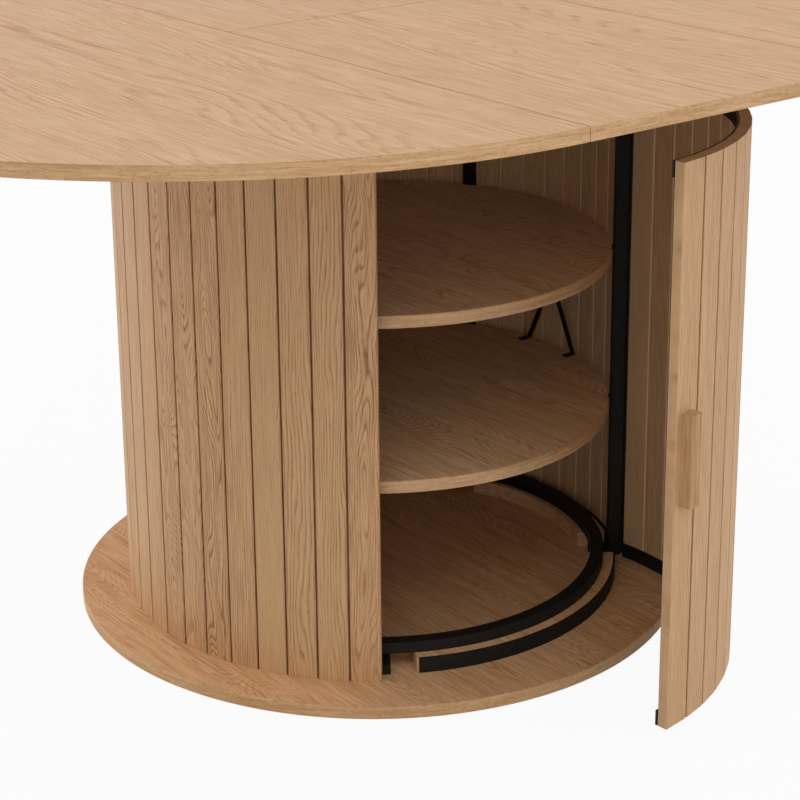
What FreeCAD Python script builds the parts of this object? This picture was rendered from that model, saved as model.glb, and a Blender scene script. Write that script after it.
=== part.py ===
import FreeCAD, Part
import math
import os

# Round extending dining table on a slatted storage column. Millimetres, +Z up.
# The origin is on the floor, on the axis of the column. +X is the way the top
# extends, and the curved door of the column faces roughly -Y.

# ---- table top -------------------------------------------------------------
TABLE_HEIGHT = 740.0
TOP_RADIUS = 600.0
TOP_THICKNESS = 15.0
LEAF_WIDTH = 415.0
SEAM_GAP = 0.8
EDGE_BAND = 1.5
EDGE_BEVEL = 0.8

# ---- base ------------------------------------------------------------------
PAD_HEIGHT = 3.0
PAD_RADIUS = 15.0
PAD_COUNT = 6
PAD_INSET = 45.0
BASE_RADIUS = 380.0
BASE_THICKNESS = 15.0

# ---- slatted wall and door --------------------------------------------------
WALL_RADIUS = 320.0
WALL_PITCH_ANGLE = 6.7
DOOR_SLATS = 14
SLAT_THICKNESS = 13.0
GROOVE_WIDTH = 2.0
GROOVE_DEPTH = 5.0
SLAT_JOINT = 0.3
SLAT_BEVEL = 0.8
HINGE_LINE_ANGLE = -33.1
DOORWAY_ANGLE = 93.8
DOOR_OPEN_ANGLE = 41.7
DOOR_FLOOR_GAP = 2.0
DOOR_TOP_GAP = 2.0
DOOR_POST_GAP = 1.6
DOOR_EDGE_GAP = 1.1
BAND_HEIGHT = 18.0
BAND_THICKNESS = 2.5

# ---- steel frame ------------------------------------------------------------
POST_SIZE = 16.0
POST_INNER_RADIUS = 298.3
CATCH_POST_SET_BACK = 18.0
POST_BAY_ANGLE = 60.3
POST_FIT = 0.3
FOOT_INNER_RADIUS = 274.0
FOOT_HEIGHT = 12.0
RING_INNER_RADIUS = 272.0
RING_WIDTH = 16.0
RING_HEIGHT = 14.0
TOP_RING_INNER_RADIUS = 282.0
TOP_RING_WIDTH = 34.0
TOP_RING_THICKNESS = 6.0

# ---- oak blocks under the ring ----------------------------------------------
BLOCK_INNER_RADIUS = 264.0
BLOCK_WIDTH = 36.5
BLOCK_HEIGHT = 19.0
BLOCK_END_GAP = 26.0
DOORWAY_BLOCK_ANGLE = 78.7
STRIP_THICKNESS = 2.5

# ---- shelves ----------------------------------------------------------------
SHELF_RADIUS = 290.0
SHELF_THICKNESS = 15.0
LOWER_SHELF_TOP = 254.5
UPPER_SHELF_TOP = 452.0
SHELF_PIN_RADIUS = 3.0
SHELF_PIN_REACH = 22.0
BRACE_ANGLE = 30.8
BRACE_SPREAD = 44.0
BRACE_WIDTH = 6.0
BRACE_THICKNESS = 2.5
BRACE_RIM_INSET = 4.0
BRACE_FOOT = 16.0
RIVET_RADIUS = 4.0

# ---- door hinges, handle and catch ------------------------------------------
HINGE_END_INSET = 2.0
HINGE_LEAF = 1.0
HINGE_REACH = 11.0
HINGE_FIT = 0.1
BARREL_RADIUS = 3.8
BARREL_DEPTH = 1.4
PIN_RADIUS = 2.0
PIN_FIT = 0.3
KNUCKLE_COUNT = 13
KNUCKLE_GAP = 0.4
WING_GAP = 0.6
HANDLE_LENGTH = 106.0
HANDLE_WIDTH = 17.5
HANDLE_DEPTH = 14.0
HANDLE_CENTRE_HEIGHT = 336.0
HANDLE_BEVEL = 1.5
STOP_WIDTH = 13.0
STOP_SHIFT = 2.5
STOP_OUTER_RADIUS = 302.5
MAGNET_RADIUS = 4.5
MAGNET_DEPTH = 4.0

# ---- extension frame under the top ------------------------------------------
RAIL_SPACING = 362.0
RAIL_WIDTH = 22.0
RAIL_HEIGHT = 53.5
RAIL_LENGTH = 790.0
LEAF_PAD_HEIGHT = 1.5
LEAF_PAD_RADIUS = 12.0
SPREADER_WIDTH = 45.0
SPREADER_HEIGHT = 22.0
SPREADER_SPACING = 300.0
SLIDE_HEIGHT = 35.0
SLIDE_WALL = 1.6
SLIDE_DEPTH = 10.0
SLIDE_FIT = 0.5
SLIDE_CENTRE_GAP = 20.0
BATTEN_WIDTH = 24.0
BATTEN_LENGTH = 300.0
BATTEN_EDGE_GAP = 24.0
LEAF_HINGE_RADIUS = 12.0
LEAF_HINGE_LENGTH = 16.0
LEAF_HINGE_COVER = 3.0
LEAF_HINGE_SPACING = 250.0

# ---- screws -----------------------------------------------------------------
SCREW_RADIUS = 2.5
SCREW_HEAD_RADIUS = 5.0
SCREW_HEAD_HEIGHT = 2.5
SCREW_BITE = 9.0

# ---- heights that follow ----------------------------------------------------
BASE_TOP = PAD_HEIGHT + BASE_THICKNESS
TOP_UNDERSIDE = TABLE_HEIGHT - TOP_THICKNESS
RAIL_TOP = TOP_UNDERSIDE - LEAF_PAD_HEIGHT
TOP_RING_TOP = RAIL_TOP - RAIL_HEIGHT
WALL_TOP = TOP_RING_TOP - TOP_RING_THICKNESS
WALL_HEIGHT = WALL_TOP - BASE_TOP
RING_BOTTOM = BASE_TOP + BLOCK_HEIGHT
POST_BOTTOM = BASE_TOP + FOOT_HEIGHT
DOOR_BOTTOM = BASE_TOP + DOOR_FLOOR_GAP
DOOR_TOP = WALL_TOP - DOOR_TOP_GAP
HINGE_BOTTOM = DOOR_BOTTOM + HINGE_END_INSET
HINGE_TOP = DOOR_TOP - HINGE_END_INSET

# ---- radii and angles that follow -------------------------------------------
WALL_INNER = WALL_RADIUS - SLAT_THICKNESS
BAND_INNER = WALL_INNER - BAND_THICKNESS
RING_OUTER = RING_INNER_RADIUS + RING_WIDTH
POST_OUTER = POST_INNER_RADIUS + POST_SIZE
POST_CENTRE = POST_INNER_RADIUS + POST_SIZE / 2
BLOCK_OUTER = BLOCK_INNER_RADIUS + BLOCK_WIDTH
HINGE_RADIUS = WALL_RADIUS - BARREL_DEPTH
CATCH_LINE_ANGLE = HINGE_LINE_ANGLE - DOORWAY_ANGLE
HINGE_SIDE_GAP = POST_SIZE / 2 + DOOR_POST_GAP
HINGE_TRIM = math.degrees(math.asin(HINGE_SIDE_GAP / WALL_RADIUS))
CATCH_TRIM = math.degrees(math.asin(DOOR_EDGE_GAP / WALL_RADIUS))
DOOR_START = CATCH_LINE_ANGLE + CATCH_TRIM
DOOR_PITCH_ANGLE = (DOORWAY_ANGLE - CATCH_TRIM - HINGE_TRIM) / DOOR_SLATS
WALL_START = HINGE_LINE_ANGLE + HINGE_TRIM
WALL_SPAN = 360.0 - DOORWAY_ANGLE - HINGE_TRIM - CATCH_TRIM

UP = FreeCAD.Vector(0, 0, 1)
EAST = FreeCAD.Vector(1, 0, 0)
ORIGIN = FreeCAD.Vector(0, 0, 0)


def polar(radius, angle, z=0.0):
    """Point at a radius and an angle in degrees about the column axis."""
    a = math.radians(angle)
    return FreeCAD.Vector(radius * math.cos(a), radius * math.sin(a), z)


def prism(points, z0, height):
    """Upright prism over a closed outline of (x, y) points."""
    outline = [FreeCAD.Vector(x, y, z0) for x, y in points]
    face = Part.Face(Part.makePolygon(outline + outline[:1]))
    return face.extrude(UP * height)


def turned(shape, angle, centre=ORIGIN):
    """Copy of a shape turned about an upright axis."""
    copy = shape.copy()
    copy.rotate(centre, UP, angle)
    return copy


def box(x0, x1, y0, y1, z0, z1):
    """Box between two limits on each axis."""
    return Part.makeBox(x1 - x0, y1 - y0, z1 - z0, FreeCAD.Vector(x0, y0, z0))


def rod(radius, length, base, axis=UP):
    """Round bar from a base point along an axis."""
    return Part.makeCylinder(radius, length, base, axis)


def ring(inner, outer, z0, height):
    """Flat ring about the column axis."""
    base = FreeCAD.Vector(0, 0, z0)
    return rod(outer, height, base).cut(rod(inner, height, base))


def sector(inner, outer, start, end, z0, height):
    """Piece of a flat ring between two angles."""
    half = (start + end) / 2
    edges = [
        Part.Arc(polar(outer, start, z0), polar(outer, half, z0), polar(outer, end, z0)).toShape(),
        Part.LineSegment(polar(outer, end, z0), polar(inner, end, z0)).toShape(),
        Part.Arc(polar(inner, end, z0), polar(inner, half, z0), polar(inner, start, z0)).toShape(),
        Part.LineSegment(polar(inner, start, z0), polar(outer, start, z0)).toShape(),
    ]
    return Part.Face(Part.Wire(edges)).extrude(UP * height)


def radial_box(inner, outer, width, angle, z0, height):
    """Box that lies along a radius, centred on it."""
    straight = box(inner, outer, -width / 2, width / 2, z0, z0 + height)
    return turned(straight, angle)


def screw(point, axis):
    """Countersunk screw. The point is the middle of its head's outer face."""
    head = Part.makeCone(SCREW_HEAD_RADIUS, SCREW_RADIUS, SCREW_HEAD_HEIGHT, point, axis)
    return head.fuse(rod(SCREW_RADIUS, SCREW_HEAD_HEIGHT + SCREW_BITE, point, axis))


def save(name, solids):
    """Write one node. Several solids in one node stay separate."""
    shape = solids[0] if len(solids) == 1 else Part.makeCompound(solids)
    shape.exportStep(os.path.join("parts", name + ".step"))


# ---- round boards with an edge band -----------------------------------------


def band_profile(radius, z0, thickness):
    """Section of an edge band in the XZ plane, bevelled on its outer corners."""
    outer, inner = radius, radius - EDGE_BAND
    z1 = z0 + thickness
    points = [
        (inner, z0),
        (outer - EDGE_BEVEL, z0),
        (outer, z0 + EDGE_BEVEL),
        (outer, z1 - EDGE_BEVEL),
        (outer - EDGE_BEVEL, z1),
        (inner, z1),
    ]
    outline = [FreeCAD.Vector(x, 0, z) for x, z in points]
    return Part.Face(Part.makePolygon(outline + outline[:1]))


def round_board(radius, z0, thickness):
    """Round board and the edge band glued round it."""
    board = rod(radius - EDGE_BAND, thickness, FreeCAD.Vector(0, 0, z0))
    band = band_profile(radius, z0, thickness).revolve(ORIGIN, UP, 360)
    return board, band


def half_round(side, name):
    """Half-round board of the top with its edge band. side is +1 or -1 along X."""
    centre = FreeCAD.Vector(side * (LEAF_WIDTH / 2 + SEAM_GAP), 0, 0)
    base = FreeCAD.Vector(0, 0, TOP_UNDERSIDE)
    disc = rod(TOP_RADIUS - EDGE_BAND, TOP_THICKNESS, base)
    reach = TOP_RADIUS * 1.1
    half = box(-reach, 0, -reach, reach, 0, TABLE_HEIGHT + TOP_THICKNESS)
    board = disc.cut(half)
    band = band_profile(TOP_RADIUS, TOP_UNDERSIDE, TOP_THICKNESS).revolve(ORIGIN, UP, 180)
    band.rotate(ORIGIN, UP, -90)
    for shape in (board, band):
        if side < 0:
            shape.rotate(ORIGIN, UP, 180)
        shape.translate(centre)
    save(name + "_board", [board])
    save(name + "_edge_band", [band])


def leaf_half(side, name):
    """Half of the folding leaf with the edge band on its end. side is +1 or -1 along Y."""
    half_width = LEAF_WIDTH / 2
    outer = TOP_RADIUS - EDGE_BAND
    board = box(-half_width, half_width, SEAM_GAP / 2, outer, TOP_UNDERSIDE, TABLE_HEIGHT)
    cups = [leaf_cup(x) for x in (-LEAF_HINGE_SPACING / 2, LEAF_HINGE_SPACING / 2)]
    for cup in cups:
        board = board.cut(cup)
    profile = band_profile(TOP_RADIUS, TOP_UNDERSIDE, TOP_THICKNESS)
    profile.rotate(ORIGIN, UP, 90)
    band = profile.extrude(FreeCAD.Vector(LEAF_WIDTH, 0, 0))
    band.translate(FreeCAD.Vector(-half_width, 0, 0))
    if side < 0:
        board = turned(board, 180)
        band = turned(band, 180)
        cups = [turned(cup, 180) for cup in cups]
    save(name + "_board", [board])
    save(name + "_edge_band", [band])
    save(name + "_hinge_cups", cups)


def leaf_cup(x):
    """Round body of a concealed hinge about the fold axis, let into the edge of a leaf half."""
    low = x - LEAF_HINGE_LENGTH / 2
    axis_height = TABLE_HEIGHT + SEAM_GAP / 2
    drum = rod(LEAF_HINGE_RADIUS, LEAF_HINGE_LENGTH, FreeCAD.Vector(low, 0, axis_height), EAST)
    bottom = axis_height - LEAF_HINGE_RADIUS
    edge = box(
        low,
        low + LEAF_HINGE_LENGTH,
        SEAM_GAP / 2,
        LEAF_HINGE_RADIUS,
        bottom,
        TABLE_HEIGHT - LEAF_HINGE_COVER,
    )
    return drum.common(edge)


def tabletop():
    """Two half-rounds and the two halves of the leaf between them."""
    half_round(-1, "near_half")
    half_round(1, "far_half")
    leaf_half(-1, "leaf_front")
    leaf_half(1, "leaf_back")


# ---- base, blocks and ring --------------------------------------------------


def base():
    """Round base board with its edge band and the felt pads under it."""
    board, band = round_board(BASE_RADIUS, PAD_HEIGHT, BASE_THICKNESS)
    save("base_board", [board])
    save("base_edge_band", [band])
    pads = []
    for i in range(PAD_COUNT):
        place = polar(BASE_RADIUS - PAD_INSET, 360.0 * i / PAD_COUNT)
        pads.append(rod(PAD_RADIUS, PAD_HEIGHT, place))
    save("floor_pads", pads)


def post_angles():
    """Angles of the posts, in order round the wall from the hinge side of the door."""
    first = HINGE_LINE_ANGLE
    last = CATCH_LINE_ANGLE + 360.0 - math.degrees(CATCH_POST_SET_BACK / POST_CENTRE)
    return [first, first + POST_BAY_ANGLE, (first + last) / 2, last - POST_BAY_ANGLE, last]


def ring_blocks():
    """Oak arcs between the posts that carry the ring, and the steel strip in the doorway."""
    names = ("right_front", "right_rear", "left_rear", "left_front")
    angles = post_angles()
    gap = math.degrees(BLOCK_END_GAP / BLOCK_OUTER)
    for name, low, high in zip(names, angles, angles[1:]):
        save("ring_block_" + name, [ring_block(low + gap, high - gap)])
    start = HINGE_LINE_ANGLE - (DOORWAY_ANGLE + DOORWAY_BLOCK_ANGLE) / 2
    end = start + DOORWAY_BLOCK_ANGLE
    save("ring_block_doorway", [ring_block(start, end)])
    inset = math.degrees(STRIP_THICKNESS / BLOCK_OUTER)
    outer = BLOCK_OUTER + STRIP_THICKNESS
    strip = sector(BLOCK_OUTER, outer, start + inset, end - inset, BASE_TOP, BLOCK_HEIGHT)
    save("doorway_strip", [strip])


def ring_block(start, end):
    """One oak arc between two angles."""
    return sector(BLOCK_INNER_RADIUS, BLOCK_OUTER, start, end, BASE_TOP, BLOCK_HEIGHT)


def frame():
    """Steel posts on their feet, the ring on the blocks and the ring under the top."""
    feet = []
    names = ("hinge", "right", "rear", "left", "catch")
    height = WALL_TOP - POST_BOTTOM
    for angle, name in zip(post_angles(), names):
        post = radial_box(POST_INNER_RADIUS, POST_OUTER, POST_SIZE, angle, POST_BOTTOM, height)
        save("post_" + name, [post.cut(ring_screw(angle))])
        feet.append(
            radial_box(FOOT_INNER_RADIUS, POST_OUTER, POST_SIZE, angle, BASE_TOP, FOOT_HEIGHT)
        )
    save("post_feet", feet)
    save("lower_ring", [ring(RING_INNER_RADIUS, RING_OUTER, RING_BOTTOM, RING_HEIGHT)])
    outer = TOP_RING_INNER_RADIUS + TOP_RING_WIDTH
    top = ring(TOP_RING_INNER_RADIUS, outer, WALL_TOP, TOP_RING_THICKNESS)
    screws = [ring_screw(angle) for angle in post_angles()]
    for bolt in screws:
        top = top.cut(bolt)
    save("top_ring", [top])
    save("top_ring_screws", screws)


def ring_screw(angle):
    """Screw through the upper ring into the top of the post at an angle."""
    return screw(polar(POST_CENTRE, angle, TOP_RING_TOP), -UP)


# ---- slats ------------------------------------------------------------------


def slat_side(pitch, plain):
    """Half outline of a slat, from its outer face to its inner face, as (t, r) points."""
    sine = math.sin(math.radians(pitch / 2))
    cosine = math.cos(math.radians(pitch / 2))
    shoulder = WALL_RADIUS - GROOVE_DEPTH
    outer_gap = (SLAT_JOINT if plain else GROOVE_WIDTH) / 2
    inner_gap = SLAT_JOINT / 2
    points = [
        (WALL_RADIUS * sine - outer_gap - SLAT_BEVEL, WALL_RADIUS * cosine),
        (WALL_RADIUS * sine - outer_gap, WALL_RADIUS * cosine - SLAT_BEVEL),
    ]
    if not plain:
        points.append((shoulder * sine - outer_gap, shoulder * cosine))
        points.append((shoulder * sine - inner_gap, shoulder * cosine))
    points.append((WALL_INNER * sine - inner_gap, WALL_INNER * cosine + SLAT_BEVEL))
    points.append((WALL_INNER * sine - inner_gap - SLAT_BEVEL, WALL_INNER * cosine))
    return points


def slat(middle, pitch, z0, z1, plain_start=False, plain_end=False):
    """One upright slat. Its edges are grooved, but for a plain end of a row."""
    end_side = [(r, t) for t, r in slat_side(pitch, plain_end)]
    start_side = [(r, -t) for t, r in reversed(slat_side(pitch, plain_start))]
    return turned(prism(end_side + start_side, z0, z1 - z0), middle)


def wall_slats():
    """Fixed slats from the hinge side onwards. The first one is narrower and fills up the row."""
    full = int(WALL_SPAN / WALL_PITCH_ANGLE - 0.3)
    closing = WALL_SPAN - full * WALL_PITCH_ANGLE
    row = [slat(WALL_START + closing / 2, closing, BASE_TOP, WALL_TOP, plain_start=True)]
    for i in range(full):
        middle = WALL_START + closing + WALL_PITCH_ANGLE * (i + 0.5)
        last = i == full - 1
        row.append(slat(middle, WALL_PITCH_ANGLE, BASE_TOP, WALL_TOP, plain_end=last))
    return row


def wall():
    """Fixed slats in three sections, rebated over the posts, and their steel bands."""
    slats = wall_slats()
    recesses = [post_recess(angle) for angle in post_angles()]
    sections = {"right": [], "rear": [], "left": []}
    names = list(sections)
    for i, piece in enumerate(slats):
        for recess in recesses:
            if piece.BoundBox.intersect(recess.BoundBox):
                piece = piece.cut(recess)
        sections[names[i * len(names) // len(slats)]].append(piece)
    for name, pieces in sections.items():
        save("wall_slats_" + name, pieces)
    end = CATCH_LINE_ANGLE + 360.0 - 2 * CATCH_TRIM
    for name, z0 in (("lower", BASE_TOP), ("upper", WALL_TOP - BAND_HEIGHT)):
        band = band_inside(WALL_START, end, WALL_PITCH_ANGLE, z0)
        for recess in recesses:
            band = band.cut(recess)
        save("wall_band_" + name, band.Solids)


def post_recess(angle):
    """Space of a post with its fit, as high as the wall."""
    width = POST_SIZE + 2 * POST_FIT
    inner = POST_INNER_RADIUS - POST_FIT
    outer = POST_OUTER + POST_FIT
    return radial_box(inner, outer, width, angle, BASE_TOP, WALL_HEIGHT)


def band_inside(start, end, pitch, z0):
    """Steel band against the inner faces of slats of one pitch."""
    outer = WALL_INNER * math.cos(math.radians(pitch / 2))
    return sector(outer - BAND_THICKNESS, outer, start, end, z0, BAND_HEIGHT)


# ---- door -------------------------------------------------------------------


def hinge_axis():
    """Point of the door's upright hinge axis on the floor."""
    return polar(HINGE_RADIUS, HINGE_LINE_ANGLE)


def opened(shape):
    """Shape of the closed door swung to its open pose."""
    return turned(shape, DOOR_OPEN_ANGLE, hinge_axis())


def door():
    """Curved door of slats on two steel bands, with its handle."""
    slats = []
    for i in range(DOOR_SLATS):
        middle = DOOR_START + DOOR_PITCH_ANGLE * (i + 0.5)
        ends = (i == 0, i == DOOR_SLATS - 1)
        slats.append(opened(slat(middle, DOOR_PITCH_ANGLE, DOOR_BOTTOM, DOOR_TOP, *ends)))
    save("door_slats", slats)
    end = DOOR_START + DOOR_PITCH_ANGLE * DOOR_SLATS - CATCH_TRIM
    for name, z0 in (("lower", DOOR_BOTTOM), ("upper", DOOR_TOP - BAND_HEIGHT)):
        band = band_inside(DOOR_START, end, DOOR_PITCH_ANGLE, z0)
        save("door_band_" + name, [opened(band)])
    save("door_handle", [opened(handle())])


def handle():
    """Oak block glued on the outer face of the first slat."""
    face = WALL_RADIUS * math.cos(math.radians(DOOR_PITCH_ANGLE / 2))
    outer = face + HANDLE_DEPTH
    half = HANDLE_WIDTH / 2
    points = [
        (face, -half),
        (outer - HANDLE_BEVEL, -half),
        (outer, -half + HANDLE_BEVEL),
        (outer, half - HANDLE_BEVEL),
        (outer - HANDLE_BEVEL, half),
        (face, half),
    ]
    z0 = HANDLE_CENTRE_HEIGHT - HANDLE_LENGTH / 2
    return turned(prism(points, z0, HANDLE_LENGTH), DOOR_START + DOOR_PITCH_ANGLE / 2)


def hinge_leaf(side, first):
    """Leaf of the continuous hinge, on the hinge line along X.

    side is +1 or -1 along Y. The leaf lies on the end face of the slats, its wing reaches
    towards the pin, and every second knuckle from the first one belongs to it.
    """
    inner, outer = WALL_RADIUS - HINGE_REACH, WALL_RADIUS - SLAT_BEVEL
    face = side * (SLAT_JOINT / 2 - HINGE_FIT)
    low, high = sorted((face - side * HINGE_LEAF, face))
    leaf = turned(box(inner, outer, low, high, HINGE_BOTTOM, HINGE_TOP), side * HINGE_TRIM)
    wing_end = HINGE_SIDE_GAP - HINGE_LEAF / 2
    leaf = leaf.fuse(hinge_wing(side, BARREL_RADIUS + WING_GAP, wing_end, HINGE_BOTTOM, HINGE_TOP))
    pitch = (HINGE_TOP - HINGE_BOTTOM) / KNUCKLE_COUNT
    for i in range(first, KNUCKLE_COUNT, 2):
        z0 = HINGE_BOTTOM + pitch * i + KNUCKLE_GAP / 2
        z1 = z0 + pitch - KNUCKLE_GAP
        barrel = rod(BARREL_RADIUS, z1 - z0, FreeCAD.Vector(HINGE_RADIUS, 0, z0))
        leaf = leaf.fuse(barrel).fuse(hinge_wing(side, 0.0, wing_end, z0, z1))
    bore = rod(PIN_RADIUS + PIN_FIT, DOOR_TOP, FreeCAD.Vector(HINGE_RADIUS, 0, 0))
    return leaf.cut(bore).removeSplitter()


def hinge_wing(side, start, end, z0, z1):
    """Flat strip square to the X axis, beside the hinge pin."""
    inner = HINGE_RADIUS - HINGE_LEAF / 2
    low, high = sorted((side * start, side * end))
    return box(inner, inner + HINGE_LEAF, low, high, z0, z1)


def hinges():
    """Continuous hinge in front of the post, between the door and the wall, with its pin."""
    save("hinge_wall_leaves", [turned(hinge_leaf(1, 0), HINGE_LINE_ANGLE)])
    save("hinge_door_leaves", [opened(turned(hinge_leaf(-1, 1), HINGE_LINE_ANGLE))])
    pin = rod(PIN_RADIUS, HINGE_TOP - HINGE_BOTTOM, polar(HINGE_RADIUS, HINGE_LINE_ANGLE, HINGE_BOTTOM))
    save("hinge_pins", [pin])


def door_stop():
    """Steel stop on the base inside the free edge of the closed door, with its magnet."""
    middle = CATCH_LINE_ANGLE + math.degrees(STOP_SHIFT / STOP_OUTER_RADIUS)
    block = radial_box(
        FOOT_INNER_RADIUS, STOP_OUTER_RADIUS, STOP_WIDTH, middle, BASE_TOP, FOOT_HEIGHT
    )
    outward = polar(1, middle)
    place = polar(STOP_OUTER_RADIUS - MAGNET_DEPTH, middle, BASE_TOP + FOOT_HEIGHT / 2)
    magnet = rod(MAGNET_RADIUS, MAGNET_DEPTH, place, outward)
    save("door_stop", [block.cut(magnet)])
    save("catch_magnet", [magnet])


# ---- shelves ----------------------------------------------------------------


def shelves():
    """Two round shelves, the pins that carry them and the crossed braces between them."""
    pins = []
    for name, top in (("lower", LOWER_SHELF_TOP), ("upper", UPPER_SHELF_TOP)):
        underside = top - SHELF_THICKNESS
        board, band = round_board(SHELF_RADIUS, underside, SHELF_THICKNESS)
        save(name + "_shelf_board", [board])
        save(name + "_shelf_edge_band", [band])
        for angle in post_angles():
            place = polar(POST_INNER_RADIUS, angle, underside - SHELF_PIN_RADIUS)
            pins.append(rod(SHELF_PIN_RADIUS, SHELF_PIN_REACH, place, -polar(1, angle)))
    save("shelf_pins", pins)
    bars, rivets = [], []
    pair, rivet = brace()
    for angle in brace_angles():
        bars.extend(turned(bar, angle) for bar in pair)
        rivets.append(turned(rivet, angle))
    save("shelf_brace_bars", bars)
    save("shelf_brace_rivets", rivets)


def brace_angles():
    """Angles of the two braces, one at each side of the doorway."""
    right = HINGE_LINE_ANGLE + BRACE_ANGLE
    return (right, 2 * HINGE_LINE_ANGLE - DOORWAY_ANGLE - right)


def brace():
    """Two crossed flat bars between the shelves and their rivet, square to the X axis."""
    z0 = LOWER_SHELF_TOP
    z1 = UPPER_SHELF_TOP - SHELF_THICKNESS
    plane = SHELF_RADIUS - EDGE_BAND - BRACE_RIM_INSET
    middle = (z0 + z1) / 2
    bars = []
    for side in (1, -1):
        x = plane if side > 0 else plane - BRACE_THICKNESS
        bars.append(brace_bar(x, z0, z1, side))
    outside = FreeCAD.Vector(plane + BRACE_THICKNESS, 0, middle)
    rivet = rod(RIVET_RADIUS, BRACE_THICKNESS, outside, EAST)
    return bars, rivet


def brace_bar(x, z0, z1, side):
    """One flat bar that leans across the brace, with a short foot at each end."""
    t = BRACE_THICKNESS
    half = BRACE_WIDTH / 2 / math.sin(math.atan2(z1 - z0, 2 * BRACE_SPREAD))
    low, high = -side * BRACE_SPREAD, side * BRACE_SPREAD
    points = [
        (low - half, z0),
        (low + half, z0),
        (high + half, z1),
        (high - half, z1),
    ]
    outline = [FreeCAD.Vector(x, y, z) for y, z in points]
    face = Part.Face(Part.makePolygon(outline + outline[:1]))
    bar = face.extrude(FreeCAD.Vector(t, 0, 0))
    for y, z in ((low, z0), (high, z1 - t)):
        foot = box(x - BRACE_FOOT + t, x + t, y - half, y + half, z, z + t)
        bar = bar.fuse(foot)
    return bar.removeSplitter()


# ---- extension frame --------------------------------------------------------


def extension_frame():
    """Fixed rails on the top ring, spreaders between them and pads under the leaf."""
    pads, screws = [], []
    for side, name in ((-1, "front"), (1, "back")):
        middle = side * RAIL_SPACING / 2
        rail = box(
            -RAIL_LENGTH / 2,
            RAIL_LENGTH / 2,
            middle - RAIL_WIDTH / 2,
            middle + RAIL_WIDTH / 2,
            TOP_RING_TOP,
            RAIL_TOP,
        )
        save("fixed_rail_" + name, [rail])
        for x in (-1, 1):
            place = FreeCAD.Vector(x * (LEAF_WIDTH / 2 - 3 * LEAF_PAD_RADIUS), middle, RAIL_TOP)
            pads.append(rod(LEAF_PAD_RADIUS * 0.8, LEAF_PAD_HEIGHT, place))
    save("leaf_pads", pads)
    spreaders = []
    inner = RAIL_SPACING / 2 - RAIL_WIDTH / 2
    for x in (-1, 1):
        middle = x * SPREADER_SPACING / 2
        low, high = middle - SPREADER_WIDTH / 2, middle + SPREADER_WIDTH / 2
        spreaders.append(
            box(low, high, -inner, inner, TOP_RING_TOP, TOP_RING_TOP + SPREADER_HEIGHT)
        )
    save("rail_spreaders", spreaders)


def slides():
    """Slides on the outer faces of the rails, and the battens under the half-rounds."""
    z0 = TOP_RING_TOP + (RAIL_HEIGHT - SLIDE_HEIGHT) / 2
    channel_length = (RAIL_LENGTH - SLIDE_CENTRE_GAP) / 2
    first = LEAF_WIDTH / 2 + SEAM_GAP + BATTEN_EDGE_GAP
    channels = []
    for along, half in ((-1, "near_half"), (1, "far_half")):
        bars, battens = [], []
        for side in (-1, 1):
            face = RAIL_SPACING / 2 + RAIL_WIDTH / 2
            low = SLIDE_CENTRE_GAP / 2
            channel = box(low, low + channel_length, face, face + SLIDE_DEPTH, z0, z0 + SLIDE_HEIGHT)
            hollow = box(
                low,
                low + channel_length,
                face + SLIDE_WALL,
                face + SLIDE_DEPTH,
                z0 + SLIDE_WALL,
                z0 + SLIDE_HEIGHT - SLIDE_WALL,
            )
            channels.append(placed(channel.cut(hollow), along, side))
            inset = SLIDE_WALL + SLIDE_FIT
            outer = face + SLIDE_DEPTH + SLIDE_FIT
            bar = box(
                first, first + BATTEN_LENGTH, face + inset, outer, z0 + inset, z0 + SLIDE_HEIGHT - inset
            )
            bars.append(placed(bar, along, side))
            batten = box(
                first,
                first + BATTEN_LENGTH,
                outer,
                outer + BATTEN_WIDTH,
                z0,
                TOP_UNDERSIDE,
            )
            battens.append(placed(batten, along, side))
        save(half + "_slide_bars", bars)
        save(half + "_battens", battens)
    save("slide_channels", channels)


def placed(shape, along, side):
    """Copy of a shape made at +X and +Y, mirrored to another quarter of the table."""
    copy = shape
    if along < 0:
        copy = copy.mirror(ORIGIN, FreeCAD.Vector(1, 0, 0))
    if side < 0:
        copy = copy.mirror(ORIGIN, FreeCAD.Vector(0, 1, 0))
    return copy


def main():
    """Build and write every node."""
    os.makedirs("parts", exist_ok=True)
    base()
    ring_blocks()
    frame()
    wall()
    door()
    hinges()
    door_stop()
    shelves()
    tabletop()
    extension_frame()
    slides()


main()
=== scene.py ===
"""Looks of a round extending dining table on a slatted storage column."""

import logging
import math
from dataclasses import dataclass, field
from enum import Enum
from typing import Any, Optional, Sequence

import bmesh
import bpy
from mathutils import Matrix, Vector


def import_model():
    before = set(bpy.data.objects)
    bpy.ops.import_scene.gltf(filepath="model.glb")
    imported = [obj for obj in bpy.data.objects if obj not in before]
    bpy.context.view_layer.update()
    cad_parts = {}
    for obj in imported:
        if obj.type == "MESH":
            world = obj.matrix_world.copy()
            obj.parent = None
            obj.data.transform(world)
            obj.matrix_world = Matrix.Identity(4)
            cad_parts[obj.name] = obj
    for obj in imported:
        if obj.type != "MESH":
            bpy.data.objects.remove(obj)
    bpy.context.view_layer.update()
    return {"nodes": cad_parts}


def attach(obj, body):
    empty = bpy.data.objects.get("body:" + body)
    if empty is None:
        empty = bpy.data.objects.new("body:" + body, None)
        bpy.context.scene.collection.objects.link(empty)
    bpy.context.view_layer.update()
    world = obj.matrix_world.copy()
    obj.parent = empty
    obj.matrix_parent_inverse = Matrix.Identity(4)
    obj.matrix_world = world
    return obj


log = logging.getLogger("table")

Colour = tuple[float, float, float]
Stops = Sequence[tuple[float, float]]
Socket = Any
Value = Any

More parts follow.
